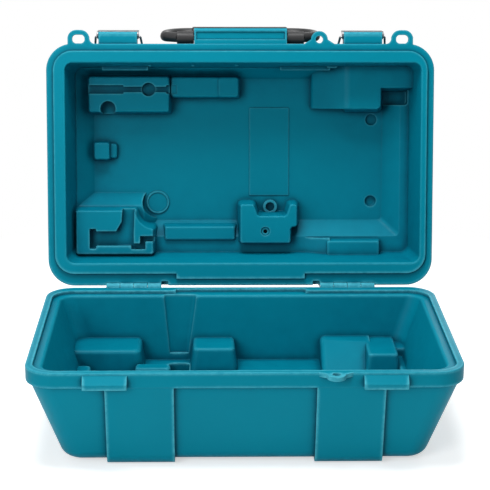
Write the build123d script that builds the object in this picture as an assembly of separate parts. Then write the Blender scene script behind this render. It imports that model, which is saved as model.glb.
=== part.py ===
"""Hard carrying case with a hinged lid, two draw latches and a folding handle, shown open.

Millimetres, +Z up, +X to the viewer's right, +Y to the back. Every piece is drawn with the
lid shut, about the middle of the base, and the lid's pieces are then swung open. The origin
ends on the floor, in the middle of the open case's footprint.
"""
import os
from dataclasses import dataclass, replace
from math import cos, hypot, radians, sin, tan

from build123d import *

# Overall sizes
case_width = 440.0
case_depth = 275.5
base_height = 108.0
lid_height = 69.5
plan_corner = 30.0
parting_gap = 0.2
open_angle = 100.3

# Outer walls
base_skirt = 16.5
lid_skirt = 12.0
skirt_step = 4.5
side_draft = 19.0
front_draft = 13.0
rear_draft = 6.0
wall_corner = 25.0
outer_round = 15.0
rim_round = 1.5
foot_drop = 3.5

# Shiplap rim: the base's lip stands round the lid's land
lip_width = 7.5
lip_height = 3.3
lip_jog = 6.0
lip_jog_half = 74.0
land_gap = 0.5
land_height = 3.0

# Cavities, measured in from the rim's outer edge
base_mouth_side = 16.5
base_mouth_front = 18.0
base_mouth_rear = 20.5
base_floor_depth = 78.0
mouth_corner = 16.0
mouth_round = 3.5
lid_mouth_round = 1.6
floor_skin = 6.0
lid_mouth_left = 21.0
lid_mouth_right = 14.8
lid_mouth_front = 21.3
lid_mouth_rear = 26.0
lid_ledge_depth = 46.0
lid_floor_depth = 63.0
lid_corner = 9.0
nest_draft = 8.0
nest_round = 2.2
nest_root = 2.0
base_block_depth = 52.0
base_pad_depth = 66.0
pit_depth = 94.0
trough_depth = 96.0
disc_x = -case_width / 2 + 123.5
disc_run = 91.0
disc_radius = 13.6
disc_seat_radius = 23.7
dimple_radius = 6.6
dimple_depth = 3.6

# Skid rails under the base and feet at the back
rail_inner = case_width / 2 - 149.0
rail_outer = case_width / 2 - 80.5
rail_proud = 4.0
rear_foot_reach = 7.8
rear_foot_inner = case_width / 2 - 127.0
band_proud = 1.8

# Hinges
hinge_inner = case_width / 2 - 129.0
hinge_outer = case_width / 2 - 66.0
knuckle_count = 4
knuckle_radius = 4.2
knuckle_gap = 0.4
hinge_offset = 1.3
hinge_pin_radius = 1.6
hinge_pin_play = 0.05
hinge_notch_width = 8.0
hinge_notch_depth = 5.0

# Lugs on the front edge
lug_thickness = 4.2
strap_lug_x = case_width / 2 - 36.8
strap_lug_half = 12.2
strap_lug_reach = 15.4
strap_slot_length = 14.0
strap_slot_width = 9.6
strap_slot_reach = 5.2
padlock_x = case_width / 2 - 130.8
padlock_reach = 4.9
padlock_hole_radius = 4.1
padlock_lug_radius = 9.4
padlock_flare = 17.0

# Draw latches; reaches are forward of the rim's front face, heights are from the lid's rim plane
latch_x = case_width / 2 - 81.0
latch_boss_half = 21.8
latch_boss_reach = 13.4
latch_boss_top = 20.5
latch_axle_reach = 10.5
latch_axle_height = 6.0
latch_axle_radius = 1.5
latch_nose_radius = 2.9
link_pivot_reach = 8.0
link_pivot_height = 11.0
lever_thickness = 1.2
lever_foot = 8.0
lever_top = 26.0
lever_side_gap = 0.3
lever_swing = 140.0
wire_radius = 1.3
wire_play = 0.08
wire_leg_gap = 0.7
wire_splay = 2.6
wire_bend = 2.6
keeper_reach = 7.4
keeper_top = 2.5
keeper_shoulder = 9.0
keeper_bottom = 15.4
keeper_half = 22.0
hook_reach = 4.6
hook_gap = 0.2
wire_rest_gap = 0.35

# Handle
bracket_half = 52.5
bracket_reach = 17.5
bracket_top = 20.0
handle_pivot_reach = 7.1
handle_pivot_height = 10.8
handle_eye_radius = 6.9
handle_eye_length = 19.4
handle_end_gap = 0.4
handle_rod_radius = 3.0
handle_rod_play = 0.08
handle_arm_radius = 5.6
handle_grip_radius = 7.0
handle_half = 86.0
handle_length = 51.0
handle_corner = 27.0
handle_rest_rise = 7.5

# Worked out from the sizes above
rim_front = -case_depth / 2
rim_rear = case_depth / 2
rim_side = case_width / 2
lid_rim = base_height + parting_gap
hinge_y = rim_rear + hinge_offset
hinge_z = base_height + parting_gap / 2


@dataclass(frozen=True)
class Outline:
    """A rounded rectangle seen from above."""

    left: float
    right: float
    front: float
    rear: float
    corner: float

    def inset(self, side: float, front: float, rear: float, corner: float) -> "Outline":
        """The same rectangle drawn in by its own amount at the sides, front and rear."""
        return Outline(
            self.left + side, self.right - side, self.front + front, self.rear - rear, corner
        )

    def face(self, height: float) -> Face:
        """The rectangle as a face at a height."""
        middle = Pos((self.left + self.right) / 2, (self.front + self.rear) / 2, height)
        return (middle * RectangleRounded(
            self.right - self.left, self.rear - self.front, self.corner
        )).face()

    def slab(self, low: float, high: float) -> Part:
        """The rectangle as a plate between two heights."""
        return extrude(self.face(low), amount=high - low, dir=(0, 0, 1))


def side_profile(points, x0: float, x1: float) -> Part:
    """A profile given as (y, z) points, drawn out between two x planes."""
    outline = make_face(Polyline([(x0, y, z) for y, z in points], close=True))
    return extrude(outline, amount=x1 - x0, dir=(1, 0, 0))


def front_profile(points, y0: float, y1: float) -> Part:
    """A profile given as (x, z) points, drawn out between two y planes."""
    outline = make_face(Polyline([(x, y0, z) for x, z in points], close=True))
    return extrude(outline, amount=y1 - y0, dir=(0, 1, 0))


def frustum(first: Outline, first_z: float, second: Outline, second_z: float) -> Part:
    """A flat-sided taper between two rectangles, its leaning edges rounded to the first's corner."""
    left = min(first.left, second.left)
    right = max(first.right, second.right)
    front = min(first.front, second.front)
    rear = max(first.rear, second.rear)
    across = front_profile(
        [
            (first.left, first_z),
            (first.right, first_z),
            (second.right, second_z),
            (second.left, second_z),
        ],
        front,
        rear,
    )
    along = side_profile(
        [
            (first.front, first_z),
            (first.rear, first_z),
            (second.rear, second_z),
            (second.front, second_z),
        ],
        left,
        right,
    )
    body = across & along
    tall = abs(second_z - first_z)
    leaning = body.edges().filter_by(lambda edge: abs(edge.bounding_box().size.Z - tall) < 0.01)
    return fillet(leaning, first.corner)


def flat_edges(solid: Part, height: float) -> ShapeList:
    """The edges that lie in the level plane at a height."""
    return solid.edges().filter_by_position(Axis.Z, height - 0.01, height + 0.01)


def block(x0, x1, y0, y1, root, crest, corner=5.0, lean=nest_draft, edge=nest_round) -> Part:
    """A moulded nest block: it stands on its root and narrows by its draft to a rounded crest."""
    spread = abs(root - crest) * tan(radians(lean))
    top = Outline(x0, x1, y0, y1, corner)
    body = frustum(top.inset(-spread, -spread, -spread, corner), root, top, crest)
    return fillet(flat_edges(body, crest), edge)


def cross_rod(x0: float, x1: float, y: float, z: float, radius: float) -> Part:
    """A round bar along X."""
    middle = Pos((x0 + x1) / 2, y, z) * Rot(0, 90, 0)
    return middle * Cylinder(radius, abs(x1 - x0))


def reach(distance: float) -> float:
    """The y of a point that stands a distance forward of the rim's front face."""
    return rim_front - distance


def mirrored(solid: Part) -> Part:
    """The same piece on the other side of the case."""
    return mirror(solid, Plane.YZ)


# Hinge knuckles


def knuckle_spans(belongs_to_lid: bool):
    """The x spans of the right hinge's knuckles on one of the two shells, inner one first."""
    pitch = (hinge_outer - hinge_inner) / knuckle_count
    for index in range(knuckle_count):
        if (index % 2 == 0) == belongs_to_lid:
            start = hinge_inner + index * pitch
            yield start + knuckle_gap / 2, start + pitch - knuckle_gap / 2


def knuckles(belongs_to_lid: bool) -> Part:
    """One shell's knuckles on both sides, each a barrel on a web that runs into the skirt."""
    up = 1 if belongs_to_lid else -1
    skirt = lid_skirt if belongs_to_lid else base_skirt
    made = []
    for x0, x1 in knuckle_spans(belongs_to_lid):
        web = side_profile(
            [
                (rim_rear - 1.5, hinge_z + up * skirt * 0.9),
                (rim_rear, hinge_z + up * skirt * 0.9),
                (hinge_y + knuckle_radius * 0.78, hinge_z + up * knuckle_radius * 0.95),
                (hinge_y, hinge_z + up * parting_gap),
                (rim_rear - 1.5, hinge_z + up * parting_gap),
            ],
            x0,
            x1,
        )
        made.append(cross_rod(x0, x1, hinge_y, hinge_z, knuckle_radius) + web)
    right = Part() + made
    return right + mirrored(right)


def knuckle_rooms(belongs_to_lid: bool) -> Part:
    """The room that one shell leaves round the other shell's knuckles."""
    pairs = knuckle_spans(not belongs_to_lid)
    rooms = Part() + [
        cross_rod(x0 - knuckle_gap, x1 + knuckle_gap, hinge_y, hinge_z, knuckle_radius + knuckle_gap)
        for x0, x1 in pairs
    ]
    return rooms + mirrored(rooms)


def pin_bore() -> Part:
    """The hole through both rows of knuckles."""
    right = cross_rod(
        hinge_inner - 1, hinge_outer + 1, hinge_y, hinge_z, hinge_pin_radius + hinge_pin_play
    )
    return right + mirrored(right)


def rear_foot(belongs_to_lid: bool) -> Part:
    """Both rear feet of one shell; their sloped ends meet when the lid is open and hold it."""
    up = 1 if belongs_to_lid else -1
    back = rim_rear + rear_foot_reach
    stop = (back - hinge_y) * tan(radians(open_angle / 2)) + hook_gap / 2
    far = lid_height - outer_round if belongs_to_lid else base_height
    tip = hinge_y + knuckle_radius + 1
    stop_tip = (tip - hinge_y) * tan(radians(open_angle / 2)) + hook_gap / 2
    points = [
        (rim_rear - 2 * skirt_step, hinge_z + up * stop_tip),
        (tip, hinge_z + up * stop_tip),
        (back, hinge_z + up * stop),
        (back, hinge_z + up * far),
        (rim_rear - outer_round - 2 * skirt_step, hinge_z + up * far),
    ]
    foot = side_profile(points, rear_foot_inner, rail_outer)
    long_edges = foot.edges().filter_by(Axis.Z).group_by(Axis.Y)[-1]
    foot = fillet(long_edges, rim_round)
    return foot + mirrored(foot)


# Base


def base_outline() -> Outline:
    """The rim's outer edge."""
    return Outline(-rim_side, rim_side, rim_front, rim_rear, plan_corner)


def walls(skirt: float, tall: float) -> Part:
    """The tapered outside of a shell as a solid that narrows upward from its skirt."""
    wide = base_outline().inset(skirt_step, skirt_step, skirt_step, wall_corner)
    rise = tall - skirt
    narrow = wide.inset(
        rise * tan(radians(side_draft)),
        rise * tan(radians(front_draft)),
        rise * tan(radians(rear_draft)),
        wall_corner,
    )
    body = frustum(wide, skirt, narrow, tall)
    body = fillet(flat_edges(body, tall), outer_round)
    skirt_plate = base_outline().slab(0, skirt)
    skirt_plate = fillet(flat_edges(skirt_plate, 0) + flat_edges(skirt_plate, skirt), rim_round)
    return skirt_plate + wide.slab(skirt / 2, skirt) + body


def lip_recess(grow: float, low: float, high: float) -> Part:
    """The inside of the base's lip, or the lid's land when it is drawn in by a gap."""
    side = lip_width + grow
    near_hinge = base_outline().inset(side, side, side + lip_jog, plan_corner - side)
    middle = Pos(0, rim_rear - side - plan_corner / 2, (low + high) / 2) * Box(
        2 * (lip_jog_half - grow), plan_corner, high - low
    )
    return near_hinge.slab(low, high) + middle


def skid_rails() -> Part:
    """The two raised rails down the front and under the floor of the base."""
    top = base_height - base_skirt
    run = (top - foot_drop) * tan(radians(front_draft))
    outer = rim_front + skirt_step - rail_proud
    points = [
        (outer, top + base_skirt / 2),
        (outer, top),
        (outer + run, 0),
        (rim_rear - skirt_step - outer_round, 0),
        (rim_rear - skirt_step - outer_round, foot_drop + outer_round),
        (rim_front + outer_round + run, foot_drop + outer_round),
        (rim_front + outer_round, top + base_skirt / 2),
    ]
    rail = side_profile(points, rail_inner, rail_outer)
    corner = rail.edges().filter_by(Axis.X).sort_by_distance((rail_inner, outer + run, 0))[0]
    rail = fillet(corner, outer_round)
    return rail + mirrored(rail)


def keepers() -> Part:
    """The sloped ledges that the latch wires hook under."""
    points = [
        (reach(-3), base_height - keeper_top + 1),
        (reach(0), base_height - keeper_top),
        (reach(keeper_reach - 1), base_height - keeper_shoulder),
        (reach(keeper_reach), base_height - keeper_shoulder - 1.2),
        (reach(keeper_reach), base_height - keeper_bottom),
        (reach(-3), base_height - keeper_bottom),
    ]
    keeper = side_profile(points, latch_x - keeper_half, latch_x + keeper_half)
    sides = keeper.edges().filter_by_position(Axis.Y, reach(keeper_reach) - 0.1, reach(keeper_reach) + 0.1)
    keeper = fillet(sides.filter_by(Axis.Z), 1.0)
    return keeper + mirrored(keeper)


def padlock_lug(low: float, high: float) -> Part:
    """The flared ear with a padlock hole on the right of the front edge."""
    ear = Pos(padlock_x, reach(padlock_reach)) * Circle(padlock_lug_radius)
    flare = Polyline(
        [
            (padlock_x - padlock_flare, reach(-lip_width)),
            (padlock_x + padlock_flare, reach(-lip_width)),
            (padlock_x + padlock_flare, reach(0)),
            (padlock_x + padlock_lug_radius, reach(padlock_reach)),
            (padlock_x - padlock_lug_radius, reach(padlock_reach)),
            (padlock_x - padlock_flare, reach(0)),
        ],
        close=True,
    )
    shape = ear + make_face(flare)
    shape -= Pos(padlock_x, reach(padlock_reach)) * Circle(padlock_hole_radius)
    return extrude(Pos(0, 0, low) * shape, amount=high - low, dir=(0, 0, 1))


def strap_lugs(low: float, high: float) -> Part:
    """The two slotted ears near the lid's front corners."""
    depth = strap_lug_reach + lip_width
    ear = Pos(strap_lug_x, reach(strap_lug_reach - depth / 2)) * RectangleRounded(
        2 * strap_lug_half, depth, strap_lug_half * 0.8
    )
    heel = Pos(strap_lug_x, reach(strap_lug_reach / 4 - lip_width / 2)) * Rectangle(
        2 * strap_lug_half, lip_width + strap_lug_reach / 2
    )
    inner = strap_lug_x - strap_lug_half
    root = Pos(inner, reach(-lip_width / 2)) * Rectangle(2 * strap_lug_half, lip_width)
    shape = ear + heel + root
    hollow = shape.vertices().sort_by_distance((inner, reach(0), 0))[0]
    shape = fillet(hollow, strap_lug_half / 2)
    slot = Pos(strap_lug_x, reach(strap_slot_reach)) * RectangleRounded(
        strap_slot_length, strap_slot_width, strap_slot_width * 0.45
    )
    lug = extrude(Pos(0, 0, low) * (shape - slot), amount=high - low, dir=(0, 0, 1))
    return lug + mirrored(lug)


def base_cavity() -> tuple[Part, Outline]:
    """The base's hollow and the outline of its floor."""
    mouth = Outline(
        -rim_side + base_mouth_side,
        rim_side - base_mouth_side,
        rim_front + base_mouth_front,
        rim_rear - base_mouth_rear,
        mouth_corner,
    )
    depth = base_floor_depth - lip_height
    floor = mouth.inset(
        depth * tan(radians(side_draft)),
        depth * tan(radians(front_draft)),
        depth * tan(radians(rear_draft)),
        mouth_corner,
    )
    hollow = frustum(mouth, base_height - lip_height, floor, base_height - base_floor_depth)
    return hollow, floor


def base_blocks(floor: Outline) -> Part:
    """The blocks and low pads that stand on the base's floor and run into its walls."""
    root = base_height - base_floor_depth - nest_root
    crest = base_height - base_block_depth
    low = base_height - base_pad_depth
    into_wall = 14.0
    left, right = floor.left - into_wall, floor.right + into_wall
    front, back = floor.front - into_wall, floor.rear + into_wall
    corner_blocks = [
        block(left, floor.left + 65, floor.rear - 41, back, root, crest, 9, edge=5),
        block(left, floor.left + 55, front, floor.front + 32, root, crest, 9, edge=5),
        block(floor.right - 66, right, front, floor.front + 36, root, crest, 9, edge=5),
        block(floor.right - 37, floor.right - 4, floor.rear - 55, back, root, crest, edge=3),
        block(floor.right - 8, right, floor.rear - 22, back, root, crest - 5, edge=4),
    ]
    middle_blocks = [
        block(-54, -8, floor.rear - 35, back, root, crest, 7, edge=4),
        block(-62, -14, front, floor.front + 26, root, crest, 7, edge=4),
    ]
    pads = [
        block(floor.left + 60, floor.left + 98, floor.rear - 60, floor.rear - 44, root, low, edge=3),
        block(left, floor.left + 10, floor.rear - 85, floor.rear - 50, root, low),
        block(floor.right - 2, right, floor.rear - 100, back, root, low),
    ]
    return Part() + corner_blocks + middle_blocks + pads


def cradle(floor: Outline) -> Part:
    """The sloped rest at the base's rear right, with a rounded left end."""
    left, right = floor.right - 88, floor.right - 32
    back, foot = floor.rear + 14, floor.rear - 58
    floor_top = base_height - base_floor_depth
    crest = base_height - base_block_depth + 2
    rest = side_profile(
        [
            (back, crest),
            (back, floor_top - nest_root),
            (foot, floor_top - nest_root),
            (foot, floor_top + 1),
            (floor.rear - 12, crest - 1),
        ],
        left,
        right,
    )
    left_end = rest.edges().filter_by(Axis.X, reverse=True).filter_by_position(
        Axis.X, left - 0.1, left + 0.1
    )
    above_floor = left_end.filter_by_position(Axis.Z, floor_top + 1, crest + 1)
    return fillet(above_floor.filter_by(lambda edge: edge.length > 5), 6)


def base_pockets(floor: Outline) -> Part:
    """The channel down the rear wall, the pit at its foot and the long trough in the floor."""
    channel_back = rim_rear - base_mouth_rear + 3.5
    channel = frustum(
        Outline(-88, -50, 60, channel_back, 5),
        base_height - lip_height,
        Outline(-82, -59, 60, floor.rear + 3.5, 5),
        base_height - base_floor_depth + 8,
    )
    pit = block(
        -81, -59, floor.rear - 50, floor.rear - 12, base_height, base_height - pit_depth, lean=2
    )
    trough = block(
        -34, 84, floor.front + 10, floor.front + 84, base_height, base_height - trough_depth, 12, 4, 5
    )
    return channel + pit + trough


def mouth_edges(solid: Part, height: float, side: float, front: float, rear: float) -> ShapeList:
    """The edges of a hollow's mouth, found by their height and by their place inside the rim."""
    inside = Outline(-rim_side + side, rim_side - side, rim_front + front, rim_rear - rear, 0)

    def is_within(edge: Edge) -> bool:
        middle = edge.center()
        return inside.left < middle.X < inside.right and inside.front < middle.Y < inside.rear

    return flat_edges(solid, height).filter_by(is_within)


def make_base_shell() -> Part:
    """The base with its skirt, rails, feet, keepers, knuckles and nest."""
    ledge = base_height - lip_height
    hollow, floor = base_cavity()
    raised = base_blocks(floor) + cradle(floor)
    shell = Pos(0, 0, base_height) * mirror(walls(base_skirt, base_height - foot_drop), Plane.XY)
    shell -= lip_recess(0, ledge, base_height + 1)
    shell -= hollow - raised
    mouth = mouth_edges(shell, ledge, base_mouth_side - 1, base_mouth_front - 1, base_mouth_rear - 1)
    shell = fillet(mouth, mouth_round)
    shell -= base_pockets(floor)
    shell += skid_rails() + rear_foot(False) + keepers()
    shell += padlock_lug(base_height - lug_thickness, base_height)
    shell -= knuckle_rooms(False)
    shell += knuckles(False)
    return shell - pin_bore()


# Lid, drawn shut: depths run up from the rim plane, and runs go forward from its rear edge


def run(distance: float) -> float:
    """The y of a point a distance forward of the lid's rear edge."""
    return rim_rear - distance


def level(depth: float) -> float:
    """The height of a point a depth above the lid's rim plane."""
    return lid_rim + depth


def from_left(distance: float) -> float:
    """The x of a point a distance in from the rim's left side."""
    return -rim_side + distance


def from_right(distance: float) -> float:
    """The x of a point a distance in from the rim's right side."""
    return rim_side - distance


def from_front(distance: float) -> float:
    """The run of a point a distance back from the lid's front edge."""
    return case_depth - distance


def nest_block(x0, x1, run0, run1, depth, corner=4.0, edge=nest_round, lean=nest_draft) -> Part:
    """A lid nest block whose crest faces the opening at a depth."""
    root = level(lid_floor_depth + nest_root)
    return block(x0, x1, run(run1), run(run0), root, level(depth), corner, lean, edge)


def nest_slab(x0, x1, run0, run1, top, depth, corner=2.0) -> Part:
    """A straight-sided form between two depths, for a low rib or a recess."""
    return Outline(x0, x1, run(run1), run(run0), corner).slab(level(top), level(depth))


def plan(x0, x1, run0, run1) -> Sketch:
    """A rectangle in the lid's plan."""
    middle = Pos((x0 + x1) / 2, run((run0 + run1) / 2))
    return middle * Rectangle(x1 - x0, run1 - run0)


def plan_shape(points) -> Sketch:
    """A straight-sided shape in the lid's plan from (x, run) points."""
    return make_face(Polyline([(x, run(distance)) for x, distance in points], close=True))


def soft_corners(shape: Sketch, corner: float, inward_corner: float) -> Sketch:
    """A notched plan shape with its outward corners rounded, and its inward ones more widely."""
    box = shape.bounding_box()

    def is_outward(vertex: Vertex) -> bool:
        to_side = min(vertex.X - box.min.X, box.max.X - vertex.X)
        to_end = min(vertex.Y - box.min.Y, box.max.Y - vertex.Y)
        return min(to_side, to_end) < 0.01

    inward = [vertex for vertex in shape.vertices() if not is_outward(vertex)]
    soft = fillet(inward, inward_corner)
    return fillet(soft.vertices().filter_by(is_outward), corner)


def raised_form(soft: Sketch, depth: float, edge: float, lean: float) -> Part:
    """A plan shape as a nest form that widens towards the lid's floor."""
    rise = lid_floor_depth + nest_root - depth
    body = extrude(Pos(0, 0, level(depth)) * soft, amount=rise, taper=-lean)
    return fillet(flat_edges(body, level(depth)), edge)


def sunk_form(shape: Sketch, top: float, depth: float, corner: float = 1.0) -> Part:
    """A plan shape with rounded corners as a recess from one depth to another."""
    soft = fillet(shape.vertices(), corner)
    return extrude(Pos(0, 0, level(top)) * soft, amount=depth - top, dir=(0, 0, 1))


def disc(x: float, distance: float, top: float, depth: float, radius: float) -> Part:
    """A round form between two depths, for a low boss or a recess."""
    return Pos(x, run(distance), level((top + depth) / 2)) * Cylinder(radius, depth - top)


def lid_cavity() -> Part:
    """The lid's hollow: steep walls to a ledge, then a sloped step to the floor."""
    mouth = Outline(
        from_left(lid_mouth_left),
        from_right(lid_mouth_right),
        rim_front + lid_mouth_front,
        rim_rear - lid_mouth_rear,
        lid_corner,
    )
    at_ledge = Outline(
        mouth.left + 8.0, mouth.right - 8.7, mouth.front + 5.5, mouth.rear - 7.5, lid_corner
    )
    step_top = replace(at_ledge, right=at_ledge.right - 8.5, rear=at_ledge.rear - 17.5, corner=8.0)
    floor = Outline(
        at_ledge.left + 20.0, step_top.right - 20.5, mouth.front + 18.0, step_top.rear - 19.0, 4.0
    )
    upper = frustum(mouth, level(-land_height), at_ledge, level(lid_ledge_depth))
    return upper + frustum(step_top, level(lid_ledge_depth - 1), floor, level(lid_floor_depth))


def spanner_nest() -> tuple[Part, Part]:
    """The block at the front left with a waisted slot, a round seat and a deep socket."""
    left, right = from_left(45.0), from_left(137.6)
    front, rear = from_front(37.5), from_front(77.8)
    crest, slot_floor, seat_floor, socket_floor = 40.0, 47.0, 49.0, 58.0
    body = nest_block(left, right, rear, front, crest, corner=3.5)
    middle = from_front(51.8)
    wide, narrow, past_end = 4.9, 3.1, 9.0
    slot = plan(left - past_end, left + 40, middle - wide, middle + wide)
    slot += plan(left + 36, right + 4, middle - narrow, middle + narrow)
    slot += plan(right - 3, right + past_end, middle - wide, middle + wide)
    cuts = [
        sunk_form(slot, crest - 1, slot_floor, 0.8),
        disc(left + 69.0, middle, crest - 1, seat_floor, 7.8),
        disc(left + 22.0, rear + 3.8, crest - 1, socket_floor, 8.8),
    ]
    return body, Part() + cuts


def bit_nest() -> tuple[Part, Part]:
    """The block at the rear left with a spanner-shaped pocket, cut round by the disc's seat."""
    left, right = from_left(30.0), from_left(118.9)
    rear, front, crest, pocket_floor = 33.4, 84.0, 25.0, 37.0
    shape = plan(left, right, rear, front)
    shape -= Pos(disc_x - 1.5, run(disc_run - 5)) * Circle(disc_seat_radius)
    body = raised_form(fillet(shape.vertices(), 2.5), crest, 1.4, nest_draft)
    shank = plan(left + 22, left + 66.5, 43.2, 60.1)
    head = plan(left + 15.4, left + 22.9, 39.7, 63.0)
    throat = plan_shape(
        [
            (left + 44.8, 58.0),
            (left + 52.5, 71.0),
            (left + 55.4, 110.0),
            (left + 68.7, 110.0),
            (left + 66.5, 58.0),
        ]
    )
    step = plan(left + 63.5, left + 80.0, 39.0, 46.0)
    riser = plan(left + 73.8, left + 80.0, 39.0, 54.5)
    outlet = plan(left + 73.8, left + 100.0, 48.2, 54.5)
    pocket = shank + head + throat + step + riser + outlet
    return body, sunk_form(pocket, crest - 1, pocket_floor, 1.0)


def clip_nest() -> tuple[Part, Part]:
    """The notched block in the middle of the lid's rear half, with a small dished hole."""
    left, right, rear, front, crest = 0.3, 66.0, 45.5, 90.7, 30.0
    notch_left, notch_right, notch_depth, flare = 20.4, 53.6, 13.7, 5.0
    shoulder_width, shoulder_drop = 7.4, 26.0
    shape = plan(left, right, rear, front)
    shape -= plan_shape(
        [
            (notch_left, front - notch_depth),
            (notch_left - flare, front + 1),
            (notch_right + flare, front + 1),
            (notch_right, front - notch_depth),
        ]
    )
    shape -= plan(right - shoulder_width, right + 1, rear - 1, front - shoulder_drop)
    body = raised_form(soft_corners(shape, 2.6, 4.3), crest, 1.8, nest_draft * 0.75)
    hole_x, hole_run = left + 29.1, rear + 13.8
    hole = disc(hole_x, hole_run, crest - 2, crest + 10, 2.4)
    dish = disc(hole_x, hole_run, crest - 2, crest + 1.2, 5.2)
    return body, dish + hole


def corner_nest() -> Part:
    """The stepped block in the front right corner with a sloped left face and a round brow."""
    crest, front, rear = 30.0, from_front(12.0), from_front(74.5)
    toe_drop, root = 25.0, lid_floor_depth + nest_root
    arm = nest_block(from_right(62.0), from_right(8.0), from_front(50.0), front, crest)
    body = nest_block(from_right(95.0), from_right(57.2), rear, front, crest, corner=6.0)
    foot, toe, brow, back = from_right(138.0), from_right(136.0), from_right(97.0), from_right(80.0)
    points = [
        (foot, level(root)),
        (toe, level(crest + toe_drop)),
        (brow, level(crest)),
        (back, level(crest)),
        (back, level(root)),
    ]
    slope = front_profile(points, run(front), run(rear))
    lines = slope.edges().filter_by(Axis.Y)
    brow_edge = lines.sort_by_distance((brow, run(rear), level(crest)))[0]
    toe_place = lines.sort_by_distance((toe, run(rear), level(crest + toe_drop)))[0].center()
    slope = fillet(brow_edge, 16.0)
    slope = fillet(slope.edges().filter_by(Axis.Y).sort_by_distance(toe_place)[0], 6.0)
    rear_face = slope.faces().sort_by(Axis.Y)[-1]
    rear_rim = rear_face.edges().filter_by_position(Axis.Z, level(crest) - 1, level(root) - 3)
    return body + arm + fillet(rear_rim, 2.0)


def corner_bay() -> Part:
    """The deep bay beside the front right block."""
    return nest_slab(
        from_right(58.0), from_right(24.5), from_front(70.0), from_front(50.5), 20, lid_floor_depth, 4
    )


def front_bar() -> Part:
    """The bar to the right of the slotted block, with a thicker pad at its end."""
    rear, front = from_front(60.5), from_front(38.0)
    pad_left, pad_right, overlap = -25.5, -1.7, 3.0
    bar = nest_block(from_left(140.0), pad_left + overlap, rear, front, 46.5)
    return bar + nest_block(pad_left, pad_right, rear, front, 45)


def left_stop() -> Part:
    """The small stepped block by the lid's left wall."""
    left, rear, length = from_left(50.0), 142.0, 19.4
    tall = nest_block(left, left + 17.5, rear, rear + length, 50, corner=3)
    low = nest_block(left + 14.0, left + 26.0, rear + 1.5, rear + length - 1.4, 56, corner=3)
    return tall + low


def rear_bars() -> Part:
    """The low bar in the middle and the block on the right with the ramp up to it."""
    bar = nest_block(-87.7, -5.9, 48.3, 63.8, 42, corner=2.5)
    left, rear, front, crest = from_right(118.4), 28.5, 47.5, 33.0
    foot, top, root = left - 39.6, left + 3.4, lid_floor_depth - 1
    end = nest_block(left, left + 61.0, rear, front, crest, 3)
    ramp = front_profile(
        [
            (foot, level(crest + 18)),
            (top, level(crest + 2.5)),
            (top, level(root)),
            (foot, level(root)),
        ],
        run(front + 3),
        run(rear + 0.5),
    )
    return bar + end + ramp


def disc_plateau() -> Part:
    """The plateau behind the rear left block, with the disc's seat in its sloped front face."""
    slope_lean, disc_proud, ring_width = 42.0, 1.6, 2.2
    plateau = nest_block(from_left(-10.0), from_left(108.0), 20.0, 88.0, 47, 8, 4.0, slope_lean)
    seat = disc(disc_x, disc_run, 40, lid_floor_depth, disc_seat_radius - 6)
    crest = lid_floor_depth - disc_proud
    boss = disc(disc_x, disc_run, crest, lid_floor_depth + 1, disc_radius)
    boss = fillet(flat_edges(boss, level(crest)), 1.0)
    dish = disc(disc_x, disc_run, crest - 1.4, crest + 0.8, disc_radius - ring_width)
    return plateau - seat + (boss - dish)


def low_forms() -> Part:
    """The faint panel on the lid's floor, the arch by the notch and the ribs of the front wall."""
    panel_crest = lid_floor_depth - 0.8
    rib_face, into_wall = from_front(29.9), from_front(13.5)
    arch = Pos(35.7, run(86.0), level(60.0)) * (Cylinder(8.2, 8.0) - Cylinder(5.2, 9.0))
    made = [
        nest_slab(11.5, 57.7, 99.0, 202.0, panel_crest, lid_floor_depth + 1, 1),
        nest_slab(from_left(61.0), from_left(114.0), rib_face, into_wall, 32, 38, 1),
        nest_slab(46.0, 104.0, rib_face, into_wall, 32, 38, 1),
        nest_slab(100.0, 111.0, rib_face + 2.8, into_wall, 26, 33, 1),
        arch,
    ]
    return Part() + made


def dimples() -> Part:
    """The two round dimples by the lid's right wall."""
    made = []
    bottom = lid_floor_depth + dimple_depth
    for distance in (92.0, 188.0):
        dimple = disc(from_right(65.4), distance, lid_floor_depth - 1, bottom, dimple_radius)
        made.append(fillet(flat_edges(dimple, level(bottom)), 2.4))
    return Part() + made


def handle_bracket() -> Part:
    """The block on the lid's front edge that carries the handle's rod."""
    points = [
        (reach(-3 * skirt_step), level(1)),
        (reach(bracket_reach - 2), level(1)),
        (reach(bracket_reach), level(3)),
        (reach(bracket_reach), level(bracket_top - 3)),
        (reach(bracket_reach - 3), level(bracket_top)),
        (reach(-3 * skirt_step), level(bracket_top)),
    ]
    bracket = side_profile(points, -bracket_half, bracket_half)
    panel = Pos(0, reach(bracket_reach / 2 + 0.5), level(1)) * Box(
        2 * (bracket_half - 2.4), bracket_reach / 2, 2.4
    )
    return bracket - panel - handle_axis_rod(bracket_half + 1, handle_rod_radius + handle_rod_play)


def handle_axis_rod(half: float, radius: float) -> Part:
    """A round bar on the handle's pivot axis."""
    return cross_rod(-half, half, reach(handle_pivot_reach), level(handle_pivot_height), radius)


def latch_boss() -> Part:
    """One latch's boss on the lid's front edge, with its axle hole."""
    under = latch_axle_height - latch_nose_radius
    half = latch_boss_half
    points = [
        (reach(-3 * skirt_step), level(under)),
        (reach(latch_axle_reach), level(under)),
        (reach(latch_axle_reach), level(latch_axle_height)),
        (reach(latch_boss_reach), level(latch_axle_height)),
        (reach(latch_boss_reach), level(latch_boss_top - 4)),
        (reach(latch_boss_reach - 4), level(latch_boss_top)),
        (reach(-3 * skirt_step), level(latch_boss_top)),
    ]
    boss = side_profile(points, latch_x - half, latch_x + half)
    axis = reach(latch_axle_reach), level(latch_axle_height)
    boss += cross_rod(latch_x - half, latch_x + half, *axis, latch_nose_radius)
    return boss - cross_rod(latch_x - half - 1, latch_x + half + 1, *axis, latch_axle_radius)


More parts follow.
